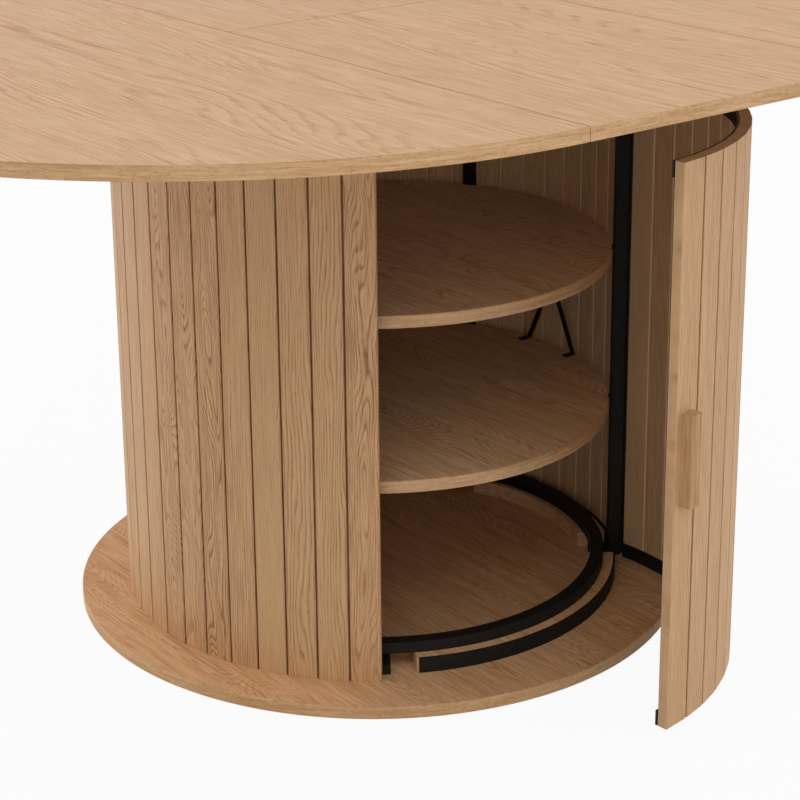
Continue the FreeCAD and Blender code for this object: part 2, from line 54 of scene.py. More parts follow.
# Angles of the column in plan, in degrees, and the number of slats on the door.
HINGE_LINE_ANGLE = -33.1
CATCH_LINE_ANGLE = -126.9
DOORWAY_ANGLE = 93.8
DOOR_OPEN_ANGLE = 41.7
HINGE_TRIM_ANGLE = 1.719
CATCH_TRIM_ANGLE = 0.197
CLOSING_SLAT_ANGLE = 3.031
WALL_PITCH_ANGLE = 6.7
DOOR_SLATS = 14


# ---- node graphs -------------------------------------------------------------


class Draw(Enum):
    """Salts of the random draws that make each slat its own."""

    PITH_ASIDE = 3.1
    LOG_PLACE = 7.7
    PITH_DEPTH = 17.9
    TINT = 23.3
    ARCHES = 31.7


class Graph:
    """Node graph of one material or of the world."""

    def __init__(self, owner: bpy.types.ID) -> None:
        """Starts an empty graph.

        Args:
            owner: the material or world that the graph belongs to.
        """
        owner.use_nodes = True
        self.tree = owner.node_tree
        self.tree.nodes.clear()

    def node(self, kind: str, **settings: Any) -> bpy.types.Node:
        """Adds a node.

        Args:
            kind: the node's type name.
            settings: properties to set on it.

        Returns:
            The new node.
        """
        made = self.tree.nodes.new(kind)
        for name, value in settings.items():
            setattr(made, name, value)
        return made

    def feed(self, socket: Socket, value: Value) -> None:
        """Links a socket to another, or sets it to a constant.

        Args:
            socket: the input to feed.
            value: an output socket, a number or a tuple.
        """
        if isinstance(value, bpy.types.NodeSocket):
            self.tree.links.new(value, socket)
        else:
            socket.default_value = value

    def math(self, operation: str, *values: Value) -> Socket:
        """Adds a Math node.

        Args:
            operation: the node's operation.
            values: its inputs, in order.

        Returns:
            The node's result.
        """
        made = self.node("ShaderNodeMath", operation=operation)
        for socket, value in zip(made.inputs, values):
            self.feed(socket, value)
        return made.outputs[0]

    def limit(self, value: Socket) -> Socket:
        """Keeps a number between 0 and 1.

        Args:
            value: the number.

        Returns:
            The number, cut off at 0 and at 1.
        """
        made = self.node("ShaderNodeClamp")
        self.feed(made.inputs[0], value)
        return made.outputs[0]

    def length(self, x: Socket, y: Socket) -> Socket:
        """Measures how far a point in plan lies from the origin.

        Args:
            x: its first coordinate.
            y: its second coordinate.

        Returns:
            The distance.
        """
        squared = self.math("MULTIPLY_ADD", x, x, self.math("MULTIPLY", y, y))
        return self.math("SQRT", squared)

    def vector(self, x: Value, y: Value, z: Value) -> Socket:
        """Joins three numbers into a vector.

        Args:
            x: the first number.
            y: the second number.
            z: the third number.

        Returns:
            The vector.
        """
        made = self.node("ShaderNodeCombineXYZ")
        for socket, value in zip(made.inputs, (x, y, z)):
            self.feed(socket, value)
        return made.outputs[0]

    def split(self, vector: Socket) -> tuple[Socket, Socket, Socket]:
        """Splits a vector into three numbers.

        Args:
            vector: the vector.

        Returns:
            Its three numbers.
        """
        made = self.node("ShaderNodeSeparateXYZ")
        self.feed(made.inputs[0], vector)
        return made.outputs[0], made.outputs[1], made.outputs[2]

    def position(self) -> Socket:
        """Gives the place on the object, in metres."""
        return self.node("ShaderNodeTexCoord").outputs["Object"]

    def noise(
        self,
        vector: Socket,
        scale: float,
        detail: float = 2.0,
        roughness: float = 0.5,
        distortion: float = 0.0,
    ) -> Socket:
        """Adds a noise texture.

        Args:
            vector: where to read it.
            scale: its scale.
            detail: its octaves.
            roughness: how much the finer octaves count.
            distortion: how much it folds.

        Returns:
            The noise, from 0 to 1.
        """
        made = self.node("ShaderNodeTexNoise", noise_dimensions="3D")
        self.feed(made.inputs["Vector"], vector)
        self.feed(made.inputs["Scale"], scale)
        self.feed(made.inputs["Detail"], detail)
        self.feed(made.inputs["Roughness"], roughness)
        self.feed(made.inputs["Distortion"], distortion)
        return made.outputs[0]

    def random(self, number: Socket, draw: Draw) -> Socket:
        """Gives a random number from 0 to 1 for a whole number.

        Args:
            number: the whole number.
            draw: what the random number is for.

        Returns:
            The random number.
        """
        made = self.node("ShaderNodeTexWhiteNoise", noise_dimensions="1D")
        self.feed(made.inputs["W"], self.math("ADD", number, draw.value))
        return made.outputs["Value"]

    def curve(self, value: Socket, stops: Stops) -> Socket:
        """Maps a number through straight pieces.

        Args:
            value: the number, from 0 to 1.
            stops: pairs of a place from 0 to 1 and the result there.

        Returns:
            The result.
        """
        return self.ramp(value, [(at, (v, v, v)) for at, v in stops])

    def ramp(self, value: Socket, stops: Sequence[tuple[float, Colour]]) -> Socket:
        """Maps a number to a colour.

        Args:
            value: the number, from 0 to 1.
            stops: pairs of a place from 0 to 1 and the colour there.

        Returns:
            The colour.
        """
        made = self.node("ShaderNodeValToRGB")
        points = made.color_ramp.elements
        while len(points) < len(stops):
            points.new(1.0)
        for point, (at, colour) in zip(points, stops):
            point.position = at
            point.color = (*colour, 1.0)
        self.feed(made.inputs[0], value)
        return made.outputs[0]

    def mix(self, amount: Value, first: Value, second: Value, blend: str = "MIX") -> Socket:
        """Mixes two colours.

        Args:
            amount: how much of the second, from 0 to 1.
            first: the first colour.
            second: the second colour.
            blend: the way of mixing.

        Returns:
            The mixed colour.
        """
        made = self.node("ShaderNodeMix", data_type="RGBA", blend_type=blend)
        inputs = [socket for socket in made.inputs if socket.enabled]
        for socket, value in zip(inputs, (amount, first, second)):
            if isinstance(value, tuple) and len(value) == 3:
                value = (*value, 1.0)
            self.feed(socket, value)
        return next(socket for socket in made.outputs if socket.enabled)

    def surface(
        self,
        colour: Value,
        roughness: Value,
        metallic: float = 0.0,
        height: Optional[Socket] = None,
        bump: float = 0.2,
        depth: float = 0.0005,
        gloss: float = 0.2,
    ) -> bpy.types.Node:
        """Adds the shader and the output.

        Args:
            colour: base colour.
            roughness: roughness.
            metallic: 1 for bare metal.
            height: height of the surface's relief, from 0 to 1.
            bump: strength of the relief.
            depth: how deep the relief is, in metres.
            gloss: specular level.

        Returns:
            The shader node.
        """
        shader = self.node("ShaderNodeBsdfPrincipled")
        output = self.node("ShaderNodeOutputMaterial")
        self.feed(output.inputs["Surface"], shader.outputs[0])
        if isinstance(colour, tuple):
            colour = (*colour, 1.0)
        self.feed(shader.inputs["Base Color"], colour)
        self.feed(shader.inputs["Roughness"], roughness)
        self.feed(shader.inputs["Metallic"], metallic)
        self.feed(shader.inputs["Specular IOR Level"], gloss)
        if height is not None:
            relief = self.node("ShaderNodeBump")
            self.feed(relief.inputs["Strength"], bump)
            self.feed(relief.inputs["Distance"], depth)
            self.feed(relief.inputs["Height"], height)
            self.feed(shader.inputs["Normal"], relief.outputs[0])
        return shader


# ---- finishes ----------------------------------------------------------------


class Grain(Enum):
    """Which way the grain of a wooden piece runs."""

    ALONG_X = "x"
    ALONG_Y = "y"
    UPRIGHT = "z"


@dataclass(frozen=True)
class WoodTones:
    """Colours of one batch of veneer."""

    light: Colour
    dark: Colour
    line: Colour


TOP_OAK = WoodTones(
    light=(0.875, 0.565, 0.332), dark=(0.740, 0.435, 0.229), line=(0.460, 0.205, 0.080)
)
SLAT_OAK = WoodTones(
    light=(0.712, 0.436, 0.223), dark=(0.540, 0.290, 0.127), line=(0.300, 0.115, 0.036)
)
BASE_OAK = WoodTones(
    light=(0.810, 0.528, 0.303), dark=(0.610, 0.340, 0.157), line=(0.355, 0.145, 0.050)
)
RIM_OAK = WoodTones(
    light=(0.745, 0.485, 0.265), dark=(0.562, 0.314, 0.142), line=(0.410, 0.190, 0.075)
)
# Painted shade: the upper shelf's oak is darker and less red than the lower's.
SHADED_UPPER_SHELF_OAK = WoodTones(
    light=(0.715, 0.545, 0.375), dark=(0.540, 0.362, 0.212), line=(0.330, 0.165, 0.078)
)
# Painted light: the lower shelf's oak is lighter than the upper's.
LIT_LOWER_SHELF_OAK = WoodTones(
    light=(0.850, 0.604, 0.372), dark=(0.645, 0.402, 0.210), line=(0.370, 0.170, 0.070)
)
SHELF_RIM_OAK = WoodTones(
    light=(0.750, 0.498, 0.286), dark=(0.575, 0.332, 0.162), line=(0.410, 0.198, 0.084)
)
HANDLE_OAK = WoodTones(
    light=(0.600, 0.372, 0.192), dark=(0.460, 0.258, 0.112), line=(0.250, 0.105, 0.034)
)
BEECH = WoodTones(
    light=(0.660, 0.450, 0.290), dark=(0.560, 0.365, 0.225), line=(0.400, 0.240, 0.140)
)


@dataclass
class WoodPlace:
    """Sockets that tell where a point lies in a piece of wood, in metres."""

    across: Socket
    along: Socket
    through: Socket
    piece: Optional[Socket] = None
    # Share of painted shade: beside the top's seams, and at the slats' grooves and joints.
    edge: Optional[Socket] = None
    # End faces of a slat, which get the end grain's tone with painted shade.
    end: Optional[Socket] = None
    # Inner face of a slat, where light and shade are painted.
    inner: Optional[Socket] = None
    # Share of painted highlight beside the slats' joints.
    joint_highlight: Optional[Socket] = None
    bold: Optional[Socket] = None


@dataclass(frozen=True)
class GrainLayer:
    """One layer of figure: noise that is drawn out along the grain.

    Its share is what it adds to the wood's tone.
    """

    drawn: float
    scale: float
    octaves: float
    roughness: float
    fold: float = 0.0
    share: float = 0.0

    def read(self, graph: Graph, place: WoodPlace) -> Socket:
        """Reads the layer at a place in the wood.

        Args:
            graph: the graph to add to.
            place: where the point lies.

        Returns:
            The noise, from 0 to 1.
        """
        along = graph.math("MULTIPLY", place.along, self.drawn)
        spot = graph.vector(place.across, along, place.through)
        return graph.noise(spot, self.scale, self.octaves, self.roughness, self.fold)


FIBRES = GrainLayer(drawn=0.02, scale=520.0, octaves=3.0, roughness=0.65, share=1.9)
THREADS = GrainLayer(drawn=0.09, scale=260.0, octaves=2.0, roughness=0.6, share=1.4)
STREAKS = GrainLayer(drawn=0.02, scale=70.0, octaves=3.0, roughness=0.6, share=1.1)
NEEDLES = GrainLayer(drawn=0.035, scale=400.0, octaves=2.0, roughness=0.6, share=2.2)
PATCHES = GrainLayer(drawn=0.09, scale=16.0, octaves=2.0, roughness=0.5)
PORES = GrainLayer(drawn=0.09, scale=1250.0, octaves=1.0, roughness=0.5)
TONE_OFFSET = -2.75

RING_LINE: Stops = ((0.0, 1.0), (0.12, 0.80), (0.34, 0.15), (0.84, 0.0), (1.0, 0.9))
PATCH_FADE: Stops = ((0.36, 0.35), (0.60, 1.0))
NEEDLE_FADE: Stops = ((0.36, 1.0), (0.62, 0.40))
OPEN_PORE: Stops = ((0.32, 1.0), (0.46, 0.0))
OAK_SATIN: Stops = ((0.3, 0.62), (0.7, 0.52))


@dataclass(frozen=True)
class OakFinish:
    """Satin oak veneer on flat boards and small blocks."""

    name: str
    grain: Grain
    tones: WoodTones = TOP_OAK
    seed: float = 0.0
    ring_spacing: float = 0.0075
    figure: float = 42.0
    stretch: float = 0.11
    contrast: float = 1.0
    relief: float = 0.50
    gloss: float = 0.2
    relief_depth: float = 0.0004
    line_waver: float = 1.4
    thread_waver: float = 0.30
    line_ink: float = 0.62
    line_sink: float = 0.9
    pore_ink: float = 0.25
    pore_sink: float = 1.0
    pores_in_lines: float = 0.75
    bold_gain: float = 0.6
    inner_loss: float = 0.5
    # Tint of painted light and shade on a slat's inner faces.
    inner_light_tint: Colour = (1.0, 1.0, 1.0)
    # End grain's tone, darkened further as painted shade where the top shades the slats' ends.
    end_grain_shade_tone: Colour = (0.250, 0.165, 0.100)
    end_grain_shade_share: float = 0.75
    # Colour of the painted highlight beside the slats' joints.
    joint_highlight_tone: Colour = (0.950, 0.700, 0.440)

    def build(self) -> bpy.types.Material:
        """Makes the material.

        Returns:
            The material.
        """
        material = bpy.data.materials.new(self.name)
        graph = Graph(material)
        place = self.place(graph)
        self.dress(graph, place, self.growth_rings(graph, place))
        return material

    def place(self, graph: Graph) -> WoodPlace:
        """Tells where a point lies in the wood.

        Args:
            graph: the graph to add to.

        Returns:
            The place across, along and through the grain.
        """
        x, y, z = graph.split(graph.position())
        across, along, through = {
            Grain.ALONG_X: (y, x, z),
            Grain.ALONG_Y: (x, y, z),
            Grain.UPRIGHT: (x, z, y),
        }[self.grain]
        return WoodPlace(graph.math("ADD", across, self.seed), along, through)

    def growth_rings(self, graph: Graph, place: WoodPlace) -> Socket:
        """Counts the growth rings of flat-cut veneer, with arches and eyes.

        Args:
            graph: the graph to add to.
            place: where the point lies.

        Returns:
            The ring number, with its share of the ring behind the point.
        """
        swirl = GrainLayer(self.stretch, scale=8.0, octaves=1.6, roughness=0.4, fold=0.3)
        waver = GrainLayer(self.stretch, scale=46.0, octaves=2.0, roughness=0.5)
        rings = graph.math("DIVIDE", place.across, self.ring_spacing)
        rings = graph.math("MULTIPLY_ADD", swirl.read(graph, place), self.figure, rings)
        return graph.math("MULTIPLY_ADD", waver.read(graph, place), self.line_waver, rings)

    def dress(self, graph: Graph, place: WoodPlace, rings: Socket) -> None:
        """Adds lines, fibres, pores, tone, painted light and shade where the place carries them,
        and the shader.

        Args:
            graph: the graph to add to.
            place: where the point lies.
            rings: the growth rings.
        """
        tones = self.tones
        fibres, threads, streaks, needles, patches, pores = (
            layer.read(graph, place)
            for layer in (FIBRES, THREADS, STREAKS, NEEDLES, PATCHES, PORES)
        )
        rings = graph.math("MULTIPLY_ADD", threads, self.thread_waver, rings)
        line = graph.curve(graph.math("FRACT", rings), RING_LINE)
        line = graph.math("MULTIPLY", line, graph.curve(patches, PATCH_FADE))
        gathered = graph.math("MULTIPLY_ADD", line, self.pores_in_lines, 1.0 - self.pores_in_lines)
        pores = graph.math("MULTIPLY", graph.curve(pores, OPEN_PORE), gathered)
        line = graph.math("MULTIPLY", line, graph.curve(needles, NEEDLE_FADE))
        tone = graph.math("MULTIPLY_ADD", fibres, FIBRES.share, TONE_OFFSET)
        for noise, layer in ((threads, THREADS), (streaks, STREAKS), (needles, NEEDLES)):
            tone = graph.math("MULTIPLY_ADD", noise, layer.share, tone)
        colour = graph.mix(graph.limit(tone), tones.dark, tones.light)
        colour = self.own_tone(graph, place, colour)
        colour = graph.mix(graph.limit(self.ink(graph, place, line, pores)), colour, tones.line)
        # Painted light and shade: the inner faces take their own tint.
        if place.inner is not None:
            colour = graph.mix(place.inner, colour, self.inner_light_tint, "MULTIPLY")
        # Painted highlight beside the slats' joints, on their inner faces.
        if place.joint_highlight is not None:
            colour = graph.mix(place.joint_highlight, colour, self.joint_highlight_tone)
        # End grain, darker than the faces, and darkened more as painted shade under the top.
        if place.end is not None:
            end = graph.math("MULTIPLY", place.end, self.end_grain_shade_share)
            colour = graph.mix(end, colour, self.end_grain_shade_tone)
        # Painted shade beside the top's seams and at the slats' grooves and joints.
        if place.edge is not None:
            colour = graph.mix(place.edge, colour, tones.line)
        height = graph.math("MULTIPLY_ADD", line, -self.line_sink, fibres)
        graph.surface(
            colour,
            roughness=graph.curve(fibres, OAK_SATIN),
            height=graph.math("MULTIPLY_ADD", pores, -self.pore_sink, height),
            bump=self.relief,
            depth=self.relief_depth,
            gloss=self.gloss,
        )

    def ink(self, graph: Graph, place: WoodPlace, line: Socket, pores: Socket) -> Socket:
        """Tells how dark the growth lines and the pores are drawn.

        Args:
            graph: the graph to add to.
            place: where the point lies.
            line: how far the point is in a growth line.
            pores: how far it is in a pore.

        Returns:
            The share of the line's colour.
        """
        filled = graph.math("MULTIPLY", pores, self.pore_ink)
        ink = graph.math("MULTIPLY_ADD", line, self.contrast * self.line_ink, filled)
        for share, gain in ((place.bold, self.bold_gain), (place.inner, -self.inner_loss)):
            if share is not None:
                ink = graph.math("MULTIPLY", ink, graph.math("MULTIPLY_ADD", share, gain, 1.0))
        return ink

    def own_tone(self, graph: Graph, place: WoodPlace, colour: Socket) -> Socket:
        """Leaves the colour as it is, because a board is one piece of veneer."""
        return colour


@dataclass(frozen=True)
class TopFinish(OakFinish):
    """Oak veneer of the top, with painted shade on the veneer beside the seams."""

    half_leaf: float = 0.2079
    cross_seam: bool = False
    # Painted shade beside the seams: its scale and how it fades.
    seam_scale: float = 500.0
    seam_shade_fade: Stops = ((0.45, 0.60), (0.80, 0.0))
    cross_seam_shade_fade: Stops = ((0.40, 0.60), (0.70, 0.0))

    def place(self, graph: Graph) -> WoodPlace:
        """Tells where a point lies in the veneer, and how near a seam, where shade is painted.

        Args:
            graph: the graph to add to.

        Returns:
            The place, with the painted shade beside the seams.
        """
        place = super().place(graph)
        x, y, _ = graph.split(graph.position())
        past_seam = graph.math("SUBTRACT", graph.math("ABSOLUTE", x), self.half_leaf)
        # Painted shade: the veneer beside the seams takes the line's colour.
        place.edge = self.seam(graph, past_seam, self.seam_shade_fade)
        if self.cross_seam:
            cross_seam_shade = self.seam(graph, y, self.cross_seam_shade_fade)
            place.edge = graph.math("MAXIMUM", place.edge, cross_seam_shade)
        return place

    def seam(self, graph: Graph, offset: Socket, fade: Stops) -> Socket:
        """Paints shade on the veneer beside a seam.

        Args:
            graph: the graph to add to.
            offset: how far the point lies from the seam, in metres.
            fade: how the painted shade fades, in steps of 2 mm.

        Returns:
            The share of the line's colour.
        """
        away = graph.math("ABSOLUTE", offset)
        return graph.curve(graph.math("MULTIPLY", away, self.seam_scale), fade)


@dataclass(frozen=True)
class RimFinish:
    """Oak edge band: fine streaks that follow the rim, and open pores."""

    name: str
    tones: WoodTones = RIM_OAK
    streak_drawn: float = 0.045
    pore_drawn: float = 0.16
    open_pore: Stops = ((0.30, 1.0), (0.43, 0.0))
    tone_range: Stops = ((0.44, 0.0), (0.66, 1.0))
    broad_share: float = 0.6
    fine_share: float = 0.5
    pore_ink: float = 0.5
    pore_sink: float = 0.8

    def build(self) -> bpy.types.Material:
        """Makes the material.

        Returns:
            The material.
        """
        material = bpy.data.materials.new(self.name)
        graph = Graph(material)
        streak_place = self.drawn_place(graph, self.streak_drawn)
        pore_place = self.drawn_place(graph, self.pore_drawn)
        broad = graph.noise(streak_place, scale=190.0, detail=3.0, roughness=0.6)
        fine = graph.noise(streak_place, scale=950.0, detail=3.0, roughness=0.7)
        pores = graph.noise(pore_place, scale=900.0, detail=1.0, roughness=0.5)
        pores = graph.curve(pores, self.open_pore)
        tone = graph.math("MULTIPLY", fine, self.fine_share)
        tone = graph.math("MULTIPLY_ADD", broad, self.broad_share, tone)
        tone = graph.curve(tone, self.tone_range)
        colour = graph.mix(tone, self.tones.dark, self.tones.light)
        colour = graph.mix(graph.math("MULTIPLY", pores, self.pore_ink), colour, self.tones.line)
        height = graph.math("MULTIPLY_ADD", pores, -self.pore_sink, fine)
        graph.surface(colour, roughness=0.58, height=height, bump=0.45, depth=0.0003)
        return material

    def drawn_place(self, graph: Graph, drawn: float) -> Socket:
        """Draws the place on the object out along the rim.

        Args:
            graph: the graph to add to.
            drawn: the share of the length that is kept.

        Returns:
            The place.
        """
        x, y, z = graph.split(graph.position())
        return graph.vector(graph.math("MULTIPLY", x, drawn), graph.math("MULTIPLY", y, drawn), z)


@dataclass(frozen=True)
class SlatFinish(OakFinish):
    """Oak slats round a circle: every slat is cut from its own place in the log."""

    tones: WoodTones = SLAT_OAK
    ring_spacing: float = 0.0025
    stretch: float = 0.16
    contrast: float = 1.20
    centre: tuple[float, float] = (0.0, 0.0)
    start: float = 0.0
    pitch: float = math.radians(WALL_PITCH_ANGLE)
    radius: float = 0.3135
    arched: tuple[float, ...] = ()
    arched_by_chance: float = 0.12
    relief: float = 0.75
    gloss: float = 0.5
    line_waver: float = 0.9
    tint: Colour = (0.646, 0.412, 0.202)
    tint_share: float = 0.8
    ends: tuple[float, float] = (0.0, 1.0)
    end_skin: float = 0.0002
    free_start: bool = False
    log_length: float = 3.0
    # The pith's least distance to the side and below, and how much it varies, in metres.
    pith_aside: tuple[float, float] = (0.030, 0.045)
    pith_depth: tuple[float, float] = (0.025, 0.030)
    arched_rise: float = 0.6
    bend: float = 0.022
    sway: float = 0.03
    arched_sway: float = 0.13
    # Painted shade near the grooves on the outer faces; painted highlight and painted shadow at
    # the joints on the inner faces.
    groove_shade: Stops = ((0.88, 0.0), (0.95, 0.55), (1.0, 0.9))
    lit_joint: Stops = ((0.0, 0.60), (0.045, 0.60), (0.065, 0.0))
    joint_shadow: Stops = ((0.945, 0.0), (0.970, 0.45), (1.0, 0.45))

    def place(self, graph: Graph) -> WoodPlace:
        """Tells which slat a point is on and where it lies in it.

        Args:
            graph: the graph to add to.

        Returns:
            The place, with the slat's number and the painted shade and highlight at its grooves
            and joints.
        """
        x, y, z = graph.split(graph.position())
        local_x = graph.math("SUBTRACT", x, self.centre[0])
        local_y = graph.math("SUBTRACT", y, self.centre[1])
        angle = graph.math("ARCTAN2", local_y, local_x)
        turned = graph.math("WRAP", graph.math("SUBTRACT", angle, self.start), math.tau, 0.0)
        count = graph.math("DIVIDE", turned, self.pitch)
        share = graph.math("FRACT", count)
        index = graph.math("FLOOR", count)
        width = self.pitch * self.radius
        inside = graph.math("MULTIPLY_ADD", share, width, -0.5 * width)
        rim = graph.math("MULTIPLY", graph.math("ABSOLUTE", inside), 2.0 / width)
        outside = graph.math("GREATER_THAN", graph.length(local_x, local_y), self.radius)
        inner = graph.math("SUBTRACT", 1.0, outside)
        # Painted shade near the grooves, on the outer faces.
        edge = graph.math("MULTIPLY", graph.curve(rim, self.groove_shade), outside)
        # Painted highlight beside each joint, on the inner faces.
        joint_highlight = graph.math("MULTIPLY", graph.curve(share, self.lit_joint), inner)
        if self.free_start:
            joined = graph.math("GREATER_THAN", count, 0.5)
            edge = graph.math("MULTIPLY", edge, joined)
            joint_highlight = graph.math("MULTIPLY", joint_highlight, joined)
        # Painted shadow beside each joint, on the inner faces.
        shaded = graph.curve(share, self.joint_shadow)
        below = graph.math("LESS_THAN", z, self.ends[0] + self.end_skin)
        above = graph.math("GREATER_THAN", z, self.ends[1] - self.end_skin)
        cut_from = graph.random(index, Draw.LOG_PLACE)
        return WoodPlace(
            across=graph.math("ADD", inside, index),
            along=graph.math("MULTIPLY_ADD", cut_from, self.log_length, z),
            through=index,
            piece=index,
            edge=graph.math("MULTIPLY_ADD", shaded, inner, edge),
            end=graph.math("MAXIMUM", below, above),
            inner=inner,
            joint_highlight=joint_highlight,
            bold=self.arched_share(graph, index),
        )

    def growth_rings(self, graph: Graph, place: WoodPlace) -> Socket:
        """Counts the rings between a point and the slat's own pith.

        Args:
            graph: the graph to add to.
            place: where the point lies.

        Returns:
            The ring number, with its share of the ring behind the point.
        """
        piece = place.piece
        bend, sway, waver = (
            GrainLayer(self.stretch, scale, octaves=2.0, roughness=roughness).read(graph, place)
            for scale, roughness in ((26.0, 0.5), (15.0, 0.5), (95.0, 0.55))
        )
        bend = graph.math("SUBTRACT", bend, 0.5)
        sway = graph.math("SUBTRACT", sway, 0.5)
        inside = graph.math("SUBTRACT", place.across, piece)
        arched = self.arched_share(graph, piece)
        least, spread = self.pith_aside
        off = graph.math("MULTIPLY_ADD", graph.random(piece, Draw.PITH_ASIDE), spread, least)
        off = graph.math("MULTIPLY", off, graph.math("SUBTRACT", 1.0, arched))
        off = graph.math("SUBTRACT", inside, off)
        sideways = graph.math("MULTIPLY_ADD", bend, self.bend, off)
        least, spread = self.pith_depth
        deep = graph.math("MULTIPLY_ADD", graph.random(piece, Draw.PITH_DEPTH), spread, least)
        rise = graph.math("MULTIPLY_ADD", arched, -self.arched_rise, 1.0)
        deep = graph.math("MULTIPLY", deep, rise)
        swing = graph.math("MULTIPLY_ADD", arched, self.arched_sway, self.sway)
        deep = graph.math("MULTIPLY_ADD", sway, swing, deep)
        rings = graph.math("DIVIDE", graph.length(sideways, deep), self.ring_spacing)
        return graph.math("MULTIPLY_ADD", waver, self.line_waver, rings)

    def own_tone(self, graph: Graph, place: WoodPlace, colour: Socket) -> Socket:
        """Gives each slat its own tint.

        Args:
            graph: the graph to add to.
            place: where the point lies.
            colour: the colour that all slats share.

        Returns:
            The tinted colour.
        """
        drawn = graph.random(place.piece, Draw.TINT)
        return graph.mix(graph.math("MULTIPLY", drawn, self.tint_share), colour, self.tint)

    def arched_share(self, graph: Graph, piece: Socket) -> Socket:
        """Marks the slats that were cut flat near the pith and show arches.

        Args:
            graph: the graph to add to.
            piece: the slat's number.

        Returns:
            1 on an arched slat, 0 on a straight one.
        """
        drawn = graph.random(piece, Draw.ARCHES)
        share = graph.math("LESS_THAN", drawn, self.arched_by_chance)
        for number in self.arched:
            share = graph.math("MAXIMUM", share, graph.math("COMPARE", piece, number, 0.3))
        return share


@dataclass(frozen=True)
class CoatedSteel:
    """Matt black powder coat with a fine orange-peel grain."""

    name: str = "black_powder_coat"
    colour: Colour = (0.0058, 0.0054, 0.0048)
    worn: Colour = (0.015, 0.014, 0.013)

    def build(self) -> bpy.types.Material:
        """Makes the material.

        Returns:
            The material.
        """
        material = bpy.data.materials.new(self.name)
        graph = Graph(material)
        place = graph.position()
        speckle = graph.noise(place, scale=900.0, detail=2.0, roughness=0.6)
        cloud = graph.noise(place, scale=9.0, detail=2.0, roughness=0.5)
        tone = graph.curve(speckle, [(0.45, 0.0), (0.75, 1.0)])
        colour = graph.mix(tone, self.colour, self.worn)
        roughness = graph.curve(cloud, [(0.3, 0.48), (0.7, 0.60)])
        graph.surface(colour, roughness, height=speckle, bump=0.35, depth=0.0002)
        return material


@dataclass(frozen=True)
class BareMetal:
    """Plated metal with faint drawing lines."""

    name: str
    light: Colour = (0.60, 0.60, 0.61)
    dark: Colour = (0.42, 0.42, 0.43)
    roughness: float = 0.34
    drawn: float = 0.04

    def build(self) -> bpy.types.Material:
        """Makes the material.

        Returns:
            The material.
        """
        material = bpy.data.materials.new(self.name)
        graph = Graph(material)
        x, y, z = graph.split(graph.position())
        place = graph.vector(graph.math("MULTIPLY", x, self.drawn), y, z)
        lines = graph.noise(place, scale=1400.0, detail=2.0, roughness=0.6)
        cloud = graph.noise(graph.position(), scale=22.0, detail=3.0, roughness=0.5)
        tone = graph.math("MULTIPLY", graph.math("ADD", lines, cloud), 0.5)
        colour = graph.mix(graph.curve(tone, [(0.35, 0.0), (0.65, 1.0)]), self.dark, self.light)
        rough = graph.curve(cloud, [(0.3, self.roughness + 0.08), (0.7, self.roughness - 0.05)])
        graph.surface(colour, rough, metallic=1.0, height=lines, bump=0.08, depth=0.0002)
        return material


@dataclass(frozen=True)
class Felt:
    """Pressed felt of the floor pads."""

    name: str = "pad_felt"
    light: Colour = (0.17, 0.14, 0.12)
    dark: Colour = (0.07, 0.058, 0.05)

    def build(self) -> bpy.types.Material:
        """Makes the material.

        Returns:
            The material.
        """
        material = bpy.data.materials.new(self.name)
        graph = Graph(material)
        fibres = graph.noise(
            graph.position(), scale=1300.0, detail=4.0, roughness=0.8, distortion=2.0
        )
        colour = graph.mix(graph.curve(fibres, [(0.35, 0.0), (0.65, 1.0)]), self.dark, self.light)
        graph.surface(colour, roughness=0.95, height=fibres, bump=0.6, depth=0.0008)
        return material


@dataclass(frozen=True)
class Nylon:
    """Moulded nylon of the leaf's bearing pads."""

    name: str = "pad_nylon"
    colour: Colour = (0.035, 0.035, 0.036)
    grain_colour: Colour = (0.055, 0.055, 0.056)

    def build(self) -> bpy.types.Material:
        """Makes the material.

        Returns:
            The material.
        """
        material = bpy.data.materials.new(self.name)
        graph = Graph(material)
        grain = graph.noise(graph.position(), scale=1600.0, detail=2.0, roughness=0.6)
        colour = graph.mix(grain, self.colour, self.grain_colour)
        graph.surface(colour, roughness=0.5, height=grain, bump=0.15, depth=0.0002)
        return material


# ---- sub-assemblies ----------------------------------------------------------


@dataclass
class SubAssembly:
    """A group of pieces that is dressed together."""

    nodes: dict[str, bpy.types.Object]

    def dress(self, material: bpy.types.Material, *names: str) -> None:
        """Gives solids their material.

        Args:
            material: the material.
            names: the solids' names.
        """
        for name in names:
            for socket in self.nodes[name].material_slots:
                socket.material = material
            log.info("dressed %s with %s", name, material.name)

    def heights(self, name: str) -> tuple[float, float]:
        """Measures a solid.

        Args:
            name: the solid's name.

        Returns:
            Its lowest and highest point, in metres.
        """
        levels = [corner[2] for corner in self.nodes[name].bound_box]
        return min(levels), max(levels)


@dataclass
class TableTop(SubAssembly):
    """Two half-rounds and the two halves of the leaf, each with its own veneer."""

    boards: dict[str, float] = field(
        default_factory=lambda: {
            "near_half_board": 3.17,
            "far_half_board": 8.43,
            "leaf_front_board": 12.71,
            "leaf_back_board": 17.29,
        }
    )

    def build(self) -> None:
        """Dresses the boards, their edge bands and the hinge cups."""
        for name, seed in self.boards.items():
            cross = name.startswith("leaf")
            # Each board gets painted shade beside its seams.
            board = TopFinish(f"oak_{name}", Grain.ALONG_Y, seed=seed, cross_seam=cross)
            self.dress(board.build(), name)
        self.dress(
            RimFinish("oak_top_edge").build(),
            "near_half_edge_band",
            "far_half_edge_band",
            "leaf_front_edge_band",
            "leaf_back_edge_band",
        )
        brass = BareMetal(
            "brass_plate", light=(0.72, 0.56, 0.28), dark=(0.50, 0.37, 0.16), roughness=0.36
        )
        self.dress(brass.build(), "leaf_front_hinge_cups", "leaf_back_hinge_cups")


